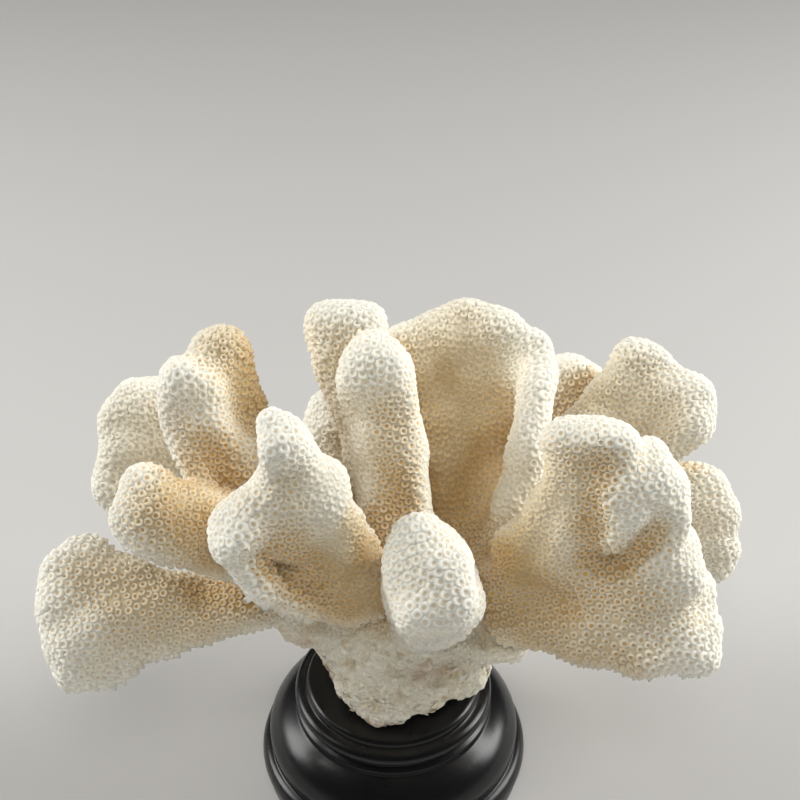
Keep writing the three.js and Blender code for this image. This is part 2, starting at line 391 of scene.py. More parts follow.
class StageSettings(bpy.types.PropertyGroup):
    """The floor and the camera."""

    floor: colour("Floor", "Colour of the floor", (0.50, 0.49, 0.475))
    pitch: bpy.props.FloatProperty(
        name="Camera Pitch",
        description="How far the camera looks down",
        default=math.radians(38),
        subtype="ANGLE",
    )
    lens: bpy.props.FloatProperty(
        name="Lens", description="Focal length in millimetres", default=67.5
    )


# ---- Meshes and attributes --------------------


def linked(thing):
    bpy.context.scene.collection.objects.link(thing)
    return thing


def mesh_object(name, mesh):
    return linked(bpy.data.objects.new(name, mesh))


def mesh_from(name, points, faces):
    mesh = bpy.data.meshes.new(name)
    mesh.from_pydata(points, [], faces)
    return mesh


def write_values(mesh, name, values):
    """Numbers, or vectors where values has three columns, kept on the mesh's points."""
    values = np.asarray(values, np.float32)
    kind, field = ("FLOAT_VECTOR", "vector") if values.ndim == 2 else ("FLOAT", "value")
    attribute = mesh.attributes.new(name, kind, "POINT")
    attribute.data.foreach_set(field, values.ravel())


def read_values(mesh, name):
    attribute = mesh.attributes[name]
    columns = 3 if attribute.data_type == "FLOAT_VECTOR" else 1
    values = np.zeros(len(attribute.data) * columns, np.float32)
    attribute.data.foreach_get("vector" if columns == 3 else "value", values)
    return values.reshape(-1, 3) if columns == 3 else values


def vertex_array(mesh):
    values = np.zeros(len(mesh.vertices) * 3, np.float32)
    mesh.vertices.foreach_get("co", values)
    return values.reshape(-1, 3)


def unit(vectors):
    return vectors / np.maximum(np.linalg.norm(vectors, axis=1, keepdims=True), 1e-12)


def dots(a, b):
    return (a * b).sum(axis=1)


def ramp(values, low, high):
    """0 at low, 1 at high, and smooth between them."""
    share = np.clip((values - low) / (high - low), 0, 1)
    return share * share * (3 - 2 * share)


class Nodes:
    """A node tree, added to one call at a time."""

    def __init__(self, tree):
        self.tree = tree

    def feed(self, made, inputs):
        """The node's inputs, linked to sockets or set to values."""
        for name, value in dict(inputs).items():
            if isinstance(value, bpy.types.NodeSocket):
                self.tree.links.new(value, made.inputs[name])
            else:
                made.inputs[name].default_value = value

    def add(self, kind, inputs=(), **values):
        """A new node with its properties set and its inputs fed."""
        made = self.tree.nodes.new(kind)
        for name, value in values.items():
            setattr(made, name, value)
        self.feed(made, inputs)
        return made


# ---- The coral's skeleton --------------------


class Lattice:
    """Evenly spaced points round the coral, which its distance fields are held on."""

    def __init__(self, low, high, spacing):
        self.spacing = spacing
        self.first = np.floor(np.array(low) / spacing).astype(int)
        self.shape = tuple(np.ceil(np.array(high) / spacing).astype(int) - self.first + 1)

    def offset(self):
        """The first point in whole steps from the origin, as a grid takes it."""
        return tuple(int(i) for i in self.first)

    def coordinates(self):
        """X, Y and Z of the points, shaped so that sums of them fill the lattice."""
        ticks = [(f + np.arange(n)) * self.spacing for f, n in zip(self.first, self.shape)]
        return np.meshgrid(*[t.astype(np.float32) for t in ticks], indexing="ij", sparse=True)

    def sample(self, field, points):
        """The field's values at points, interpolated between the lattice's own."""
        place = points / self.spacing - self.first
        base = np.clip(np.floor(place).astype(int), 0, np.array(self.shape) - 2)
        share = place - base
        total = np.zeros(len(points))
        for corner in np.ndindex(2, 2, 2):
            weight = np.prod(np.where(corner, share, 1 - share), axis=1)
            total += weight * field[tuple((base + corner).T)]
        return total

    def slope(self, field, points):
        """The direction in which the field rises, times how fast it does."""
        steps = np.eye(3) * self.spacing
        ahead = [self.sample(field, points + step) for step in steps]
        behind = [self.sample(field, points - step) for step in steps]
        return (np.stack(ahead, axis=1) - np.stack(behind, axis=1)) / (2 * self.spacing)


def distance_field(node, lattice, band):
    """Distance to one CAD solid, below 0 inside it, and no further from 0 than band."""
    mesh = frame["nodes"][node].data
    mesh.calc_loop_triangles()
    corners = np.zeros(len(mesh.loop_triangles) * 3, np.int32)
    mesh.loop_triangles.foreach_get("vertices", corners)
    grid = openvdb.FloatGrid.createLevelSetFromPolygons(
        vertex_array(mesh),
        triangles=corners.reshape(-1, 3).astype(np.uint32),
        transform=openvdb.createLinearTransform(lattice.spacing),
        halfWidth=band / lattice.spacing,
    )
    field = np.zeros(lattice.shape, np.float32)
    grid.copyToArray(field, ijk=lattice.offset())
    return field


def surface(field, lattice):
    """The closed surface where the field is 0, as points and faces."""
    grid = openvdb.FloatGrid(float(field.max()))
    grid.copyFromArray(field, ijk=lattice.offset())
    grid.transform = openvdb.createLinearTransform(lattice.spacing)
    points, quads = grid.convertToQuads()
    return points, quads.astype(np.int64)


def blurred(field, sigma):
    """The field after a Gaussian blur, with sigma in lattice steps."""
    reach = int(3 * sigma + 0.5)
    weights = np.exp(-0.5 * (np.arange(-reach, reach + 1) / sigma) ** 2)
    weights = (weights / weights.sum()).astype(np.float32)
    for axis in range(3):
        margins = [(reach, reach) if a == axis else (0, 0) for a in range(3)]
        padded = np.pad(field, margins, mode="edge")
        total = np.zeros_like(field)
        for start, weight in enumerate(weights):
            window = [slice(None)] * 3
            window[axis] = slice(start, start + field.shape[axis])
            total += weight * padded[tuple(window)]
        field = total
    return field


def swellings(lattice, shortest, seed):
    """Smooth irregular heights round 0 made of waves in every direction."""
    rng = np.random.default_rng(seed)
    x, y, z = lattice.coordinates()
    total = np.zeros(lattice.shape, np.float32)
    waves = 22
    for _ in range(waves):
        direction = rng.normal(size=3)
        direction /= np.linalg.norm(direction)
        rate = 2 * math.pi / (shortest * rng.uniform(1, 2.2))
        kx, ky, kz = direction * rate
        total += np.sin(kx * x + ky * y + kz * z + rng.uniform(0, 2 * math.pi))
    return total / math.sqrt(waves / 2)


def falloff(points, solid, start, end, radius):
    """1 on the line from start to end, fading to 0 at about twice the radius from it."""
    low, high = (np.array(corner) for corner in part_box(solid))
    a, b = (low + (high - low) * (np.array(place) / 100) for place in (start, end))
    along = (b - a) / max(float((b - a) @ (b - a)), 1e-12)
    t = np.clip(sum((c - p) * k for c, p, k in zip(points, a, along)), 0, 1)
    squared = sum((c - p - t * (q - p)) ** 2 for c, p, q in zip(points, a, b))
    return np.exp(-squared / (2 * (radius * MM) ** 2))


def wear(x, y, z):
    """How worn the coral is at a place: 1 on its cut foot, fading to 0 under its branches."""
    low = 1 - ramp(z, *(TRUNK_LOW.z + height for height in WORN_HEIGHTS))
    return low * (1 - ramp(np.sqrt(x * x + y * y), *WORN_RADII))


def grow(settings):
    """The lattice, the joined skin's distance field, and how far each solid's share of it reaches."""
    margin = 12 * MM
    band = 8 * MM
    boxes = [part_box(node) for node in CORAL_NODES]
    low = np.min([lo for lo, _ in boxes], axis=0) - margin
    high = np.max([hi for _, hi in boxes], axis=0) + margin
    lattice = Lattice(low, high, settings.spacing)
    place = lattice.coordinates()
    fields = np.stack([distance_field(node, lattice, band) for node in CORAL_NODES])
    fields = np.stack([blurred(f, settings.smoothing / settings.spacing) for f in fields])
    nearest, second = np.partition(fields, 1, axis=0)[:2]
    closeness = np.exp((nearest - fields) / settings.fillet).sum(axis=0)
    skin = nearest - settings.fillet * np.log(closeness)
    skin += settings.inset
    skin += settings.swell * swellings(lattice, settings.swell_length, settings.seed)
    for octave in (1, 2):
        pits = swellings(lattice, octave * settings.pit_length, settings.seed + octave)
        skin += settings.pits * wear(*place) * pits
    for solid, strokes in STROKES.items():
        for start, end, radius, depth in strokes:
            skin += depth * MM * falloff(place, solid, start, end, radius)
    skin = np.maximum(skin, TRUNK_LOW.z - place[2])
    reaches = {}
    for node, field in zip(CORAL_NODES, fields):
        rival = np.where(field > nearest, nearest, second)
        reaches[node] = (field - rival) / 2
    return lattice, skin, reaches


def patch_values(points):
    """How far the patches darken the coral at the points, partly as real stain and partly as painted
    shade, lightening it as painted light where below 0, and how calm it is there, up to 1.
    """
    clear_of_stain_and_shade = np.ones(len(points))
    lively = np.ones(len(points))
    for solid, patches in PATCHES.items():
        for start, end, radius, stain, calm in patches:
            share = falloff(points.T, solid, start, end, radius)
            clear_of_stain_and_shade *= 1 - stain * share
            lively *= 1 - calm * share
    return 1 - clear_of_stain_and_shade, 1 - lively


class CORAL_OT_skeleton(bpy.types.Operator):
    """Grow the coral's skin over its solids, as one closed piece for each"""

    bl_idname = "coral.skeleton"
    bl_label = "Skeleton"

    def execute(self, context):
        settings = context.scene.coral_skeleton
        spacing = settings.spacing
        lattice, skin, reaches = grow(settings)
        inside = ramp(-skin, -spacing, spacing).astype(np.float32)
        near = blurred(inside, RIM_BLUR / spacing)
        wide = blurred(near, HOLLOW_BLUR / spacing)
        for node, reach in reaches.items():
            # Past its border a piece dips under its neighbour, so that their skins don't fight.
            dip = 0.3 * np.clip(reach, 0, None)
            points, faces = surface(np.maximum(skin + dip, reach - OVERLAP), lattice)
            outer = (lattice.sample(skin, points) > -0.5 * spacing) & (
                lattice.sample(reach, points) < 0.3 * MM
            )
            normals = unit(lattice.slope(skin, points))
            # The patches darken the skin, partly as real stain and partly as painted shade, and lighten
            # it as painted light where their value is below 0.
            stain, calm = patch_values(points)
            # How shut in the skin is by the coral above it; the material darkens the colour with it as
            # painted shade in hollows and between branches, and the cups stand out less there.
            shade = ramp(lattice.sample(wide, points + normals * HOLLOW_LIFT), 0.03, 0.42)
            edge = 1 - ramp(lattice.sample(near, points), 0.3, 0.52)
            # How clear the skin is of the painted shade and of the patches; with the rims this gives
            # the pale value, whiter on rims and tips as the coral is.
            clear_of_stain_and_shade = np.clip(1 - 1.6 * shade - 1.5 * stain, 0, 1)
            mesh = mesh_from(
                node.replace("_branch", "") + "_coral", points.tolist(), faces.tolist()
            )
            mesh.shade_smooth()
            for name, values in {
                "outer": outer,
                "upright": normals,
                "growth": -lattice.slope(wide, points) * 10 * MM,
                "shade": shade,
                "pale": clear_of_stain_and_shade * (0.45 + 0.55 * edge),
                "edge": edge,
                "stain": stain,
                "calm": calm,
                "worn": wear(*points.T),
            }.items():
                write_values(mesh, name, values)
            piece = mesh_object(mesh.name, mesh)
            piece["coral_solid"] = node
            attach(piece, BODY)
            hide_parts(node)
        return {"FINISHED"}


# ---- The cups --------------------


# What the skin holds at each point, in the order of the columns read from it.
SKIN_VALUES = ("upright", "growth", "shade", "pale", "edge", "stain", "worn", "calm")

# The places in a block of 3 by 3 by 3 cells, from its middle.
BLOCK = tuple(itertools.product((-1, 0, 1), repeat=3))


def coral_pieces():
    return [o for o in bpy.context.scene.objects if "coral_solid" in o]


def outer_faces(pieces):
    """The corners of every outer face, what the skin holds at them, and which piece they are on."""
    parts = []
    for index, piece in enumerate(pieces):
        mesh = piece.data
        corners = np.zeros(len(mesh.loops), np.int32)
        mesh.loops.foreach_get("vertex_index", corners)
        corners = corners.reshape(-1, 4)
        corners = corners[read_values(mesh, "outer")[corners].min(axis=1) > 0.5]
        values = np.column_stack([read_values(mesh, name) for name in SKIN_VALUES])
        rows = (vertex_array(mesh), values)
        parts.append([r[corners] for r in rows] + [np.full(len(corners), index)])
    return [np.concatenate(column) for column in zip(*parts)]


def crowded(point, cell, kept_in, limit):
    """Whether a point kept in the cells round this one lies within limit, which is squared."""
    x, y, z = point
    cx, cy, cz = cell
    for dx, dy, dz in BLOCK:
        for px, py, pz in kept_in.get((cx + dx, cy + dy, cz + dz), ()):
            if (px - x) ** 2 + (py - y) ** 2 + (pz - z) ** 2 < limit:
                return True
    return False


def scattered(points, gaps, order):
    """Which of the points are kept, if none may lie within its gap of one kept before it."""
    cells = np.floor(points / float(gaps.max())).astype(int).tolist()
    rows = points.tolist()
    limits = (gaps**2).tolist()
    kept_in = {}
    kept = []
    for i in order:
        if not crowded(rows[i], cells[i], kept_in, limits[i]):
            kept_in.setdefault(tuple(cells[i]), []).append(rows[i])
            kept.append(i)
    return np.array(kept)


def evened(points, gaps, skin, rounds):
    """The points pushed apart along the skin until they stand about evenly, and their faces."""
    spread, force = 1.35, 0.16
    faces = np.zeros(len(points), int)
    for _ in range(rounds):
        tree = KDTree(len(points))
        for i, p in enumerate(points):
            tree.insert(p, i)
        tree.balance()
        moved = points.copy()
        for i, p in enumerate(points):
            reach = spread * gaps[i]
            push = np.zeros(3)
            for other, _, apart in tree.find_range(p, reach):
                if apart > 0:
                    push += (p - np.array(other)) * ((reach / apart - 1) * force)
            moved[i] = p + push
        for i, p in enumerate(moved):
            moved[i], _, faces[i], _ = skin.find_nearest(p)
        points = moved
    return points, faces


def cup_sites(pieces, settings):
    """Where the cups stand: their places, gaps and pieces, and the skin's values there by name."""
    tries_per_cup = 14
    # The least gap between two cups, as a share of the pitch, before they are evened out.
    least_gap = 0.72
    rng = np.random.default_rng(settings.seed)
    corners, values, owners = outer_faces(pieces)
    skin = BVHTree.FromPolygons(
        corners.reshape(-1, 3).tolist(), np.arange(len(corners) * 4).reshape(-1, 4).tolist()
    )
    areas = np.linalg.norm(
        np.cross(corners[:, 2] - corners[:, 0], corners[:, 3] - corners[:, 1]), axis=1
    )
    tries = int(areas.sum() / settings.pitch**2 * tries_per_cup)
    drawn = rng.choice(len(corners), tries, p=areas / areas.sum())
    u, v = rng.random((2, tries, 1))
    a, b, c, d = np.swapaxes(corners[drawn], 0, 1)
    points = (a * (1 - u) + b * u) * (1 - v) + (d * (1 - u) + c * u) * v
    worn, calm = values[drawn].mean(axis=1)[:, -2:].T
    gaps = settings.pitch * least_gap * (1 - 0.1 * calm - 0.3 * worn)
    thinned = np.flatnonzero(rng.random(tries) > 0.3 * worn)
    kept = scattered(points, gaps, thinned.tolist())
    points, faces = evened(points[kept], gaps[kept] * 1.1, skin, rounds=6)
    held = values[faces].mean(axis=1)
    return points, gaps[kept] / settings.pitch, owners[faces], {
        "upright": unit(held[:, :3]),
        "growth": held[:, 3:6],
        **dict(zip(SKIN_VALUES[2:], held[:, 6:].T)),
    }


def cup_forms(points, gaps, held, settings):
    """How the cup on each site is formed, as the values that its node tree and materials read."""
    rng = np.random.default_rng(settings.seed)
    count = len(points)
    upright, shade, pale, edge, worn, calm = (
        held[name] for name in ("upright", "shade", "pale", "edge", "worn", "calm")
    )
    outward = unit(points - np.array(CORE)) * 0.4 + held["growth"] * 1.6
    facing = np.clip(dots(unit(outward), upright), 0, 1)
    side_edge = edge * (1 - facing)
    under = np.clip(-1.5 * upright[:, 2] - 0.1, 0, 1) * (1 - ramp(worn, 0.0, 0.6))
    flat = calm * (1 - edge)

    # On pale tips and on calm faces the walls of neighbouring cups run together.
    likely = pale + 0.3 * facing - 0.5 * side_edge + rng.normal(scale=0.12, size=count)
    likely -= 0.5 * under
    joined = (likely > 0.58) | (flat > 0.5)

    # The cups lean outwards along their branch, most of all on its sides.
    along = outward - upright * dots(outward, upright)[:, None]
    along /= np.maximum(np.linalg.norm(along, axis=1, keepdims=True), 0.35)
    lean = settings.lean * (1 - 0.5 * flat + 1.5 * side_edge) * (1 - 0.5 * joined)
    lean *= rng.uniform(0.75, 1.25, count)
    jitter = rng.normal(size=points.shape) * (0.07 - 0.03 * joined + 0.25 * worn)[:, None]

    # They stand out most along side edges and underneath, and least where worn or calm.
    rise = (1 - 0.7 * flat) * (1 - 0.5 * worn) * (1 - 0.3 * shade) * (1 + 0.9 * side_edge)
    rise *= 1 + 0.9 * under
    rise *= 1 + rng.uniform(-0.22, 0.22, count) * (1 - 0.6 * joined) - 0.12 * joined
    girth = gaps * (1.25 + 0.1 * joined - 0.15 * side_edge)
    girth *= 1 + rng.uniform(-1, 1, count) * (0.07 + 0.25 * worn)
    return {
        "aim": unit(upright + along * lean[:, None] + jitter),
        "along": along + 1e-5,  # never quite zero, which would leave a cup without a direction
        "rise": rise,
        "girth": girth,
        "warmth": rng.random(count) ** 1.5,
        "joined": joined,
        "single": ~joined,
        **{name: held[name] for name in ("shade", "pale", "stain", "worn", "calm")},
    }


# Rings of one cup of width and height 1, from its foot over its lip into its throat: radius, height,
# how much of the lip's colour it has and how much of the throat's. The lip's colour is kept lighter
# than the foot's, and the throat's is partly painted shade and a painted glow.
SINGLE_CUP = (
    (0.66, -0.5, 0.0, 0.0),
    (0.43, 1.0, 1.0, 0.0),
    (0.25, 0.6, 0.8, 0.3),
    (0.13, 0.05, 0.0, 1.0),
)
JOINED_CUP = (
    (0.95, -1.1, 0.3, 0.0),
    (0.61, 0.7, 0.6, 0.0),
    (0.34, 1.0, 1.0, 0.0),
    (0.2, 0.4, 0.0, 1.0),
)


def cup_object(name, rings, low_side):
    """One cup, low by low_side of its height towards +X."""
    sides = 8
    turns = np.arange(sides) * 2 * math.pi / sides
    points = []
    for radius, height, _, _ in rings:
        for turn in turns:
            tall = 1 if height < 0 else 1 - low_side * (1 + math.cos(turn)) / 2
            points.append((radius * math.cos(turn), radius * math.sin(turn), height * tall))
    floor = (len(rings) - 1) * sides
    faces = []
    for start in range(0, floor, sides):
        for i in range(sides):
            near, far = start + i, start + (i + 1) % sides
            faces.append((near, far, far + sides, near + sides))
    faces.append(tuple(floor + i for i in range(sides)))
    mesh = mesh_from(name, points, faces)
    mesh.shade_smooth()
    write_values(mesh, "lip", [ring[2] for ring in rings for _ in turns])
    write_values(mesh, "throat", [ring[3] for ring in rings for _ in turns])
    return mesh_object(name, mesh)


def cup_tree():
    """Geometry nodes that stand a cup on every site and join them to the skin."""
    tree = bpy.data.node_groups.new("Coral Cups", "GeometryNodeTree")
    key = {}
    for name, kind in (
        ("Geometry", "NodeSocketGeometry"),
        ("Sites", "NodeSocketObject"),
        ("Single Cup", "NodeSocketObject"),
        ("Joined Cup", "NodeSocketObject"),
        ("Diameter", "NodeSocketFloat"),
        ("Height", "NodeSocketFloat"),
        ("Seed", "NodeSocketInt"),
        ("Material", "NodeSocketMaterial"),
    ):
        key[name] = tree.interface.new_socket(name, in_out="INPUT", socket_type=kind).identifier
    tree.interface.new_socket("Geometry", in_out="OUTPUT", socket_type="NodeSocketGeometry")

    node = Nodes(tree).add

    def site_value(name, kind="FLOAT"):
        read = node("GeometryNodeInputNamedAttribute", {"Name": name}, data_type=kind)
        return read.outputs["Attribute"]

    def product(a, b):
        return node("ShaderNodeMath", {0: a, 1: b}, operation="MULTIPLY").outputs[0]

    given = node("NodeGroupInput").outputs
    sites = node("GeometryNodeObjectInfo", {"Object": given["Sites"]}).outputs["Geometry"]
    wide = product(given["Diameter"], site_value("girth"))
    high = product(given["Height"], site_value("rise"))
    scale = node("ShaderNodeCombineXYZ", {"X": wide, "Y": wide, "Z": high}).outputs[0]
    aim = node(
        "FunctionNodeAlignRotationToVector",
        {"Vector": site_value("aim", "FLOAT_VECTOR")},
        axis="Z",
    ).outputs[0]
    face_tip = node(
        "FunctionNodeAlignRotationToVector",
        {"Rotation": aim, "Vector": site_value("along", "FLOAT_VECTOR")},
        axis="X",
        pivot_axis="Z",
    ).outputs[0]
    spin = node(
        "FunctionNodeRandomValue",
        {"Min": -0.5, "Max": 0.5, "Seed": given["Seed"]},
        data_type="FLOAT",
    ).outputs["Value"]
    about_z = node(
        "FunctionNodeAxisAngleToRotation", {"Axis": (0, 0, 1), "Angle": spin}
    ).outputs[0]
    turn = node(
        "FunctionNodeRotateRotation",
        {"Rotation": face_tip, "Rotate By": about_z},
        rotation_space="LOCAL",
    ).outputs[0]
    join = node("GeometryNodeJoinGeometry", {"Geometry": given["Geometry"]})
    for name, kind in (("Single Cup", "single"), ("Joined Cup", "joined")):
        cup = node("GeometryNodeObjectInfo", {"Object": given[name]}).outputs["Geometry"]
        stood = node(
            "GeometryNodeInstanceOnPoints",
            {
                "Points": sites,
                "Selection": site_value(kind),
                "Instance": cup,
                "Rotation": turn,
                "Scale": scale,
            },
        )
        tree.links.new(stood.outputs["Instances"], join.inputs["Geometry"])
    real = node("GeometryNodeRealizeInstances", {"Geometry": join.outputs["Geometry"]})
    paint = node(
        "GeometryNodeSetMaterial",
        {"Geometry": real.outputs["Geometry"], "Material": given["Material"]},
    )
    node("NodeGroupOutput", {"Geometry": paint.outputs["Geometry"]})
    return tree, key


def modified(mesh, tree, values):
    """The mesh that a node tree makes of mesh, with the tree's inputs set by identifier."""
    carrier = mesh_object("carrier", mesh)
    modifier = carrier.modifiers.new("Cups", "NODES")
    modifier.node_group = tree
    for identifier, value in values.items():
        modifier[identifier] = value
    graph = bpy.context.evaluated_depsgraph_get()
    made = bpy.data.meshes.new_from_object(carrier.evaluated_get(graph))
    bpy.data.objects.remove(carrier)
    return made


class CORAL_OT_cups(bpy.types.Operator):
    """Cover the coral's skin with cups"""

    bl_idname = "coral.cups"
    bl_label = "Cups"

    def execute(self, context):
        settings = context.scene.coral_cups
        pieces = coral_pieces()
        if not pieces:
            raise RuntimeError("Build the skeleton first.")
        points, gaps, owners, held = cup_sites(pieces, settings)
        forms = cup_forms(points, gaps, held, settings)
        tree, key = cup_tree()
        single_cup = cup_object("single", SINGLE_CUP, 0.35)
        joined_cup = cup_object("joined", JOINED_CUP, 0.2)
        finish = context.scene.coral_finish
        branch_finish = coral_material(finish, "coral_skeleton", 0.4)
        foot_finish = coral_material(finish, "coral_foot", 0.25)
        for index, piece in enumerate(pieces):
            mine = owners == index
            sites = mesh_object("sites", mesh_from("sites", points[mine].tolist(), []))
            for name, values in forms.items():
                write_values(sites.data, name, values[mine])
            bare = piece.data
            piece.data = modified(
                bare,
                tree,
                {
                    key["Sites"]: sites,
                    key["Single Cup"]: single_cup,
                    key["Joined Cup"]: joined_cup,
                    key["Diameter"]: settings.diameter,
                    key["Height"]: settings.height,
                    key["Seed"]: settings.seed + index,
                    key["Material"]: foot_finish if piece["coral_solid"] == "trunk" else branch_finish,
                },
            )
            bpy.data.meshes.remove(bare)
            piece.data.name = piece.name
            bpy.data.objects.remove(sites)
        bpy.data.objects.remove(single_cup)
        bpy.data.objects.remove(joined_cup)
        return {"FINISHED"}


# ---- The stand --------------------


def quarter_curve(start, control, end, steps):
    """Points of a smooth bend from start to end, without start."""
    a, b, c = (np.array(p) for p in (start, control, end))
    t = np.linspace(0, 1, steps + 1)[1:, None]
    return (a * (1 - t) ** 2 + 2 * b * t * (1 - t) + c * t**2).tolist()


def stand_profile():
    """The turned outline in millimetres, from the rim of the underside up to that of the platform."""
    height = (STAND_HIGH.z - STAND_LOW.z) / MM
    line = [[28.5, 0.0]]
    # Each row is the end of a straight, or the control point and the end of a bend.
    for *control, end in (
        ([29.3, 0.8],),
        ([29.3, 3.2],),
        ([30.3, 4.0], [30.0, 6.0]),
        ([29.6, 8.0], [28.0, 8.2]),
        ([27.4, 9.0],),
        ([29.0, 11.5], [27.2, 14.5]),
        ([25.5, 17.5], [21.8, 19.0]),
        ([21.8, 20.4],),
        ([20.6, 21.0],),
        ([20.6, 22.0],),
        ([22.0, 22.2], [21.9, 23.6]),
        ([21.7, 25.0], [20.0, 25.1]),
        ([19.4, 25.3],),
        ([19.3, height], [18.0, height]),
    ):
        line += quarter_curve(line[-1], control[0], end, 10) if control else [end]
    return line


def eased(line, radius):
    """The outline with each sharp corner cut back to a small round, in millimetres."""
    sharp = math.radians(14)
    points = [line[0]]
    for before, corner, after in zip(line, line[1:], line[2:]):
        p, q, r = (np.array(v, float) for v in (before, corner, after))
        into, out = q - p, r - q
        into_length, out_length = np.linalg.norm(into), np.linalg.norm(out)
        turn = math.acos(np.clip(into @ out / into_length / out_length, -1, 1))
        if turn < sharp:
            points.append(corner)
            continue
        start = (q - into / into_length * min(radius, into_length / 2.5)).tolist()
        end = (q + out / out_length * min(radius, out_length / 2.5)).tolist()
        points += [start] + quarter_curve(start, q, end, 4)
    return points + [line[-1]]


def turned(name, line, segments):
    """A closed solid of revolution whose outline starts and ends on flat discs."""
    radii, heights = np.array(line).T * MM
    turns = np.arange(segments) * 2 * math.pi / segments
    rings = len(line)
    places = (
        np.outer(radii, np.cos(turns)),
        np.outer(radii, np.sin(turns)),
        np.repeat(heights[:, None], segments, axis=1),
    )
    points = np.stack(places, axis=2).reshape(-1, 3)
    under, over = rings * segments, rings * segments + 1
    points = np.vstack([points, [0, 0, heights[0]], [0, 0, heights[-1]]])
    faces = []
    for i in range(segments):
        j = (i + 1) % segments
        faces.append((under, j, i))
        faces.append((over, (rings - 1) * segments + i, (rings - 1) * segments + j))
        for low in range(0, (rings - 1) * segments, segments):
            faces.append((low + i, low + j, low + segments + j, low + segments + i))
    mesh = mesh_from(name, points.tolist(), faces)
    mesh.shade_smooth()
    mesh.set_sharp_from_angle(angle=math.radians(40))
    return mesh


class CORAL_OT_stand(bpy.types.Operator):
    """Turn the black stand"""

    bl_idname = "coral.stand"
    bl_label = "Stand"

    def execute(self, context):
        settings = context.scene.coral_stand
        mesh = turned("turned_stand", eased(stand_profile(), radius=0.3), settings.segments)
        mesh.materials.append(lacquer_material(settings))
        stand = mesh_object("turned_stand", mesh)
        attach(stand, BODY)
        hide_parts(STAND)
        return {"FINISHED"}


# ---- Materials --------------------


class Shader(Nodes):
    """A material's nodes."""

    def __init__(self, name):
        self.material = bpy.data.materials.new(name)
        self.material.use_nodes = True
        super().__init__(self.material.node_tree)

    def surface(self, inputs):
        self.feed(self.tree.nodes["Principled BSDF"], inputs)

    def value(self, name):
        """A number that the mesh holds."""
        return self.add("ShaderNodeAttribute", attribute_name=name).outputs["Fac"]

    def mix(self, share, a, b):
        made = self.add("ShaderNodeMix", {0: share, 6: a, 7: b}, data_type="RGBA")
        return made.outputs[2]

    def math(self, operation, a, b):
        made = self.add("ShaderNodeMath", {0: a, 1: b}, operation=operation, use_clamp=True)
        return made.outputs[0]

    def times(self, a, b):
        return self.math("MULTIPLY", a, b)

    def plus(self, a, b):
        return self.math("ADD", a, b)

    def noise(self, scale, detail=3.0, roughness=0.5):
        place = self.add("ShaderNodeTexCoord").outputs["Object"]
        made = self.add(
            "ShaderNodeTexNoise",
            {"Vector": place, "Scale": scale, "Detail": detail, "Roughness": roughness},
        )
        return made.outputs["Fac"]

    def stretch(self, value, low, high, least=0.0, most=1.0):
        """The value moved from the range low to high into the range least to most."""
        inputs = {"Value": value, "From Min": low, "From Max": high, "To Min": least, "To Max": most}
        return self.add("ShaderNodeMapRange", inputs).outputs["Result"]

    def bump(self, height, strength, distance, under=None):
        inputs = {"Height": height, "Strength": strength, "Distance": distance}
        if under:
            inputs["Normal"] = under
        return self.add("ShaderNodeBump", inputs).outputs["Normal"]


def opaque(rgb):
    return (*rgb, 1.0)


def coral_material(settings, name, softness):
    """Dry coral: ivory tips, tan hollows that are partly stain and partly painted shade, orange throats
    that are partly painted shade and a painted glow, and a worn, crusted foot.
    """
    shader = Shader(name)
    shade, pale, stain, worn, calm, lip, throat, warmth = (
        shader.value(held)
        for held in ("shade", "pale", "stain", "worn", "calm", "lip", "throat", "warmth")
    )
    tip, face, hollow, orange, bleached, earth, blush = (
        opaque(getattr(settings, part))
        for part in ("tip", "face", "hollow", "throat", "worn", "earth", "blush")
    )

    # The skin between the cups and the cups' lips: ivory on rims and tan to brown in hollows, partly
    # the coral's own stain and partly painted shade, taken from the shade and stain values; the lips
    # are kept lighter than the skin at the cups' feet, which is partly painted shade between the cups.
    patchy = shader.stretch(shader.noise(110.0), 0.3, 0.75)
    depth = shader.plus(shader.times(shade, 0.8), stain)
    depth = shader.times(depth, shader.plus(shader.times(patchy, 0.4), 0.75))
    between = shader.mix(depth, shader.mix(pale, face, tip), hollow)
    crown = shader.mix(shader.times(depth, 0.6), tip, hollow)
    plain = shader.math("MAXIMUM", shader.times(worn, 3.0), calm)
    showing = shader.math("SUBTRACT", 1.0, shader.times(plain, 0.8))
    body = shader.mix(shader.times(lip, showing), between, crown)

    # The throats: orange, partly the cups' own colour and partly painted shade and a painted glow
    # inside each cup, stronger where the painted shade and stains are deep, and differing at random
    # from cup to cup.
    painted_throat_glow = shader.times(shader.plus(depth, 0.22), shader.plus(warmth, 0.6))
    body = shader.mix(shader.times(shader.times(throat, painted_throat_glow), showing), body, orange)

    # The worn foot's crust.
    soiled = shader.stretch(shader.noise(190.0, 5.0, 0.6), 0.5, 0.68)
    flushed = shader.stretch(shader.noise(75.0, 2.0), 0.56, 0.7)
    crevice = shader.stretch(shader.noise(700.0, 4.0, 0.65), 0.5, 0.36)
    crust = shader.mix(soiled, bleached, earth)
    crust = shader.mix(shader.times(crevice, 0.25), crust, earth)
    crust = shader.mix(shader.times(flushed, 0.45), crust, blush)
    body = shader.mix(worn, body, crust)

    grain = shader.bump(shader.noise(2600.0, 4.0, 0.65), 0.35, 0.12 * MM)
    crumbs = shader.times(shader.noise(800.0, 6.0, 0.7), worn)
    shader.surface(
        {
            "Base Color": body,
            "Normal": shader.bump(crumbs, 1.0, 0.65 * MM, grain),
            "Roughness": settings.roughness,
            "Specular IOR Level": 0.3,
            "Subsurface Weight": softness,
            "Subsurface Radius": (1.0, 0.9, 0.8),
            "Subsurface Scale": 1.4 * MM,
        }
    )
    return shader.material


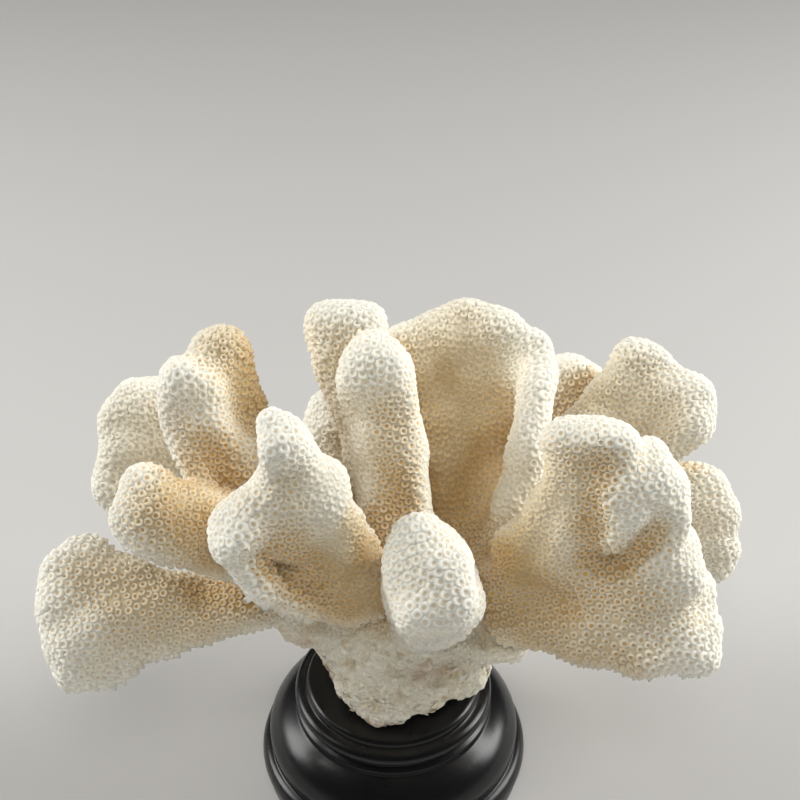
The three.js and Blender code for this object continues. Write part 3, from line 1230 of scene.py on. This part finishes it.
def lacquer_material(settings):
    """Black satin lacquer, a little duller in cloudy patches."""
    shader = Shader("black_lacquer")
    cloudy = shader.stretch(shader.noise(60.0, 5.0), 0.3, 0.75)
    gloss, dull = settings.roughness - 0.05, settings.roughness + 0.07
    shader.surface(
        {
            "Base Color": opaque(settings.lacquer),
            "Roughness": shader.stretch(cloudy, 0.0, 1.0, gloss, dull),
            "Normal": shader.bump(shader.noise(900.0, 3.0), 0.08, 0.1 * MM),
            "Specular IOR Level": 0.35,
            "Coat Weight": 0.1,
            "Coat Roughness": 0.25,
        }
    )
    return shader.material


def floor_material(settings):
    shader = Shader("floor")
    shader.surface({"Base Color": opaque(settings.floor), "Roughness": 0.8})
    return shader.material


# ---- The stage --------------------


# Soft lights: name, place, size, power in watts, and whether gloss reflects them.
LIGHTS = (
    ("left_softbox", (-0.55, 0.12, 0.42), (0.3, 0.55), 4.2, True),
    ("right_softbox", (0.55, 0.12, 0.42), (0.3, 0.55), 5.3, True),
    ("front_softbox", (0.0, -0.55, 0.85), (0.35, 0.35), 2.5, False),
    ("low_softbox", (0.0, -0.75, 0.25), (0.5, 0.3), 0.68, False),
)
LIGHT_TARGET = Vector((0, 0, 70 * MM))
CAMERA_PLACE = (1.5 * MM, -225.5 * MM, 280.8 * MM)
FLOOR_HALF = 3.0


def area_light(name, place, size, power, reflected):
    lamp = bpy.data.lights.new(name, "AREA")
    lamp.shape = "RECTANGLE"
    lamp.size, lamp.size_y = size
    lamp.energy = power
    lamp.color = (1.0, 0.998, 0.985)
    light = linked(bpy.data.objects.new(name, lamp))
    light.location = place
    light.rotation_euler = (LIGHT_TARGET - Vector(place)).to_track_quat("-Z", "Y").to_euler()
    light.visible_glossy = reflected


class CORAL_OT_stage(bpy.types.Operator):
    """Lay the floor, set the lights and aim the camera"""

    bl_idname = "coral.stage"
    bl_label = "Stage"

    def execute(self, context):
        settings = context.scene.coral_stage
        corners = [(x * FLOOR_HALF, y * FLOOR_HALF, 0) for x, y in ((-1, -1), (1, -1), (1, 1), (-1, 1))]
        mesh = mesh_from("floor", corners, [(0, 1, 2, 3)])
        mesh.materials.append(floor_material(settings))
        mesh_object("floor", mesh)
        for light in LIGHTS:
            area_light(*light)
        world = bpy.data.worlds.new("room")
        world.use_nodes = True
        background = world.node_tree.nodes["Background"]
        background.inputs["Color"].default_value = (1.0, 0.98, 0.95, 1.0)
        background.inputs["Strength"].default_value = 0.04
        context.scene.world = world
        context.scene.view_settings.view_transform = "Standard"
        lens = bpy.data.cameras.new("camera")
        lens.lens = settings.lens
        lens.sensor_width = 36
        lens.clip_start = 0.01
        camera = linked(bpy.data.objects.new("camera", lens))
        camera.location = CAMERA_PLACE
        camera.rotation_euler = (math.pi / 2 - settings.pitch, 0, 0)
        context.scene.camera = camera
        return {"FINISHED"}


# ---- The add-on ---------------------------------------------------------------------------------


class CORAL_PT_panel(bpy.types.Panel):
    """Lists the steps that build the coral and its stand."""

    bl_label = "Branching Coral"
    bl_idname = "CORAL_PT_panel"
    bl_space_type = "VIEW_3D"
    bl_region_type = "UI"
    bl_category = "Coral"

    def draw(self, context):
        for operator in OPERATORS:
            self.layout.operator(operator.bl_idname)


SETTINGS = {
    "coral_skeleton": CoralSkeletonSettings,
    "coral_cups": CoralCupSettings,
    "coral_finish": CoralFinishSettings,
    "coral_stand": StandSettings,
    "coral_stage": StageSettings,
}
OPERATORS = (CORAL_OT_skeleton, CORAL_OT_cups, CORAL_OT_stand, CORAL_OT_stage)
CLASSES = (*SETTINGS.values(), *OPERATORS, CORAL_PT_panel)


def register():
    for cls in CLASSES:
        bpy.utils.register_class(cls)
    for name, cls in SETTINGS.items():
        setattr(bpy.types.Scene, name, bpy.props.PointerProperty(type=cls))


def unregister():
    for name in SETTINGS:
        delattr(bpy.types.Scene, name)
    for cls in reversed(CLASSES):
        bpy.utils.unregister_class(cls)


def main():
    register()
    bpy.ops.coral.skeleton()
    bpy.ops.coral.cups()
    bpy.ops.coral.stand()
    bpy.ops.coral.stage()


if __name__ == "__main__":
    main()
